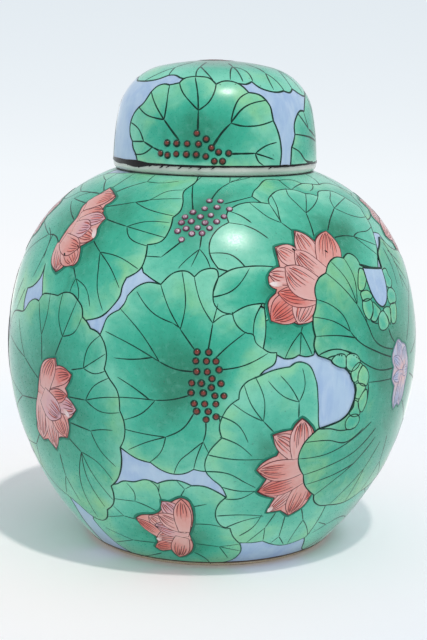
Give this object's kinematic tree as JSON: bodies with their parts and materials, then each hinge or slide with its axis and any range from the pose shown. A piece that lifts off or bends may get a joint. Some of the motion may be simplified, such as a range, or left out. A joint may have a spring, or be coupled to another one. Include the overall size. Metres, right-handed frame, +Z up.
{
  "type": "ginger jar",
  "caption": "Egg-shaped porcelain ginger jar with an upright neck and a cap lid that lifts off, painted with enamel lotus leaves, blossoms and raised seeds.",
  "frame": {"origin": "middle of the foot ring's resting plane", "axes": "+Z up along the jar's axis, the front faces -Y, and +X is to the right of someone who looks at the front"},
  "size_m": [0.2, 0.202, 0.2341],
  "materials": {
    "green_enamel": "glossy translucent green enamel, emerald shading to lime at the leaf edges",
    "red_enamel": "glossy raised iron-red enamel",
    "blue_enamel": "glossy pale lavender-blue enamel",
    "coral_enamel": "satin coral pink enamel with fine darker lines",
    "ink_line": "near-black drawn line under the glaze",
    "porcelain": "clear-glazed grey-white porcelain",
    "bare_clay": "matt unglazed rim, slightly tanned by the firing"
  },
  "bodies": {
    "jar": {"jar_body": "green_enamel", "jar_seeds": "red_enamel"},
    "lid": {"lid": "green_enamel", "lid_seeds": "red_enamel"}
  },
  "joints": [
    {"name": "lid_lift", "type": "slide", "parent": "jar", "child": "lid", "axis": [0, 0, 1], "range_m": [0, 0.12]}
  ]
}
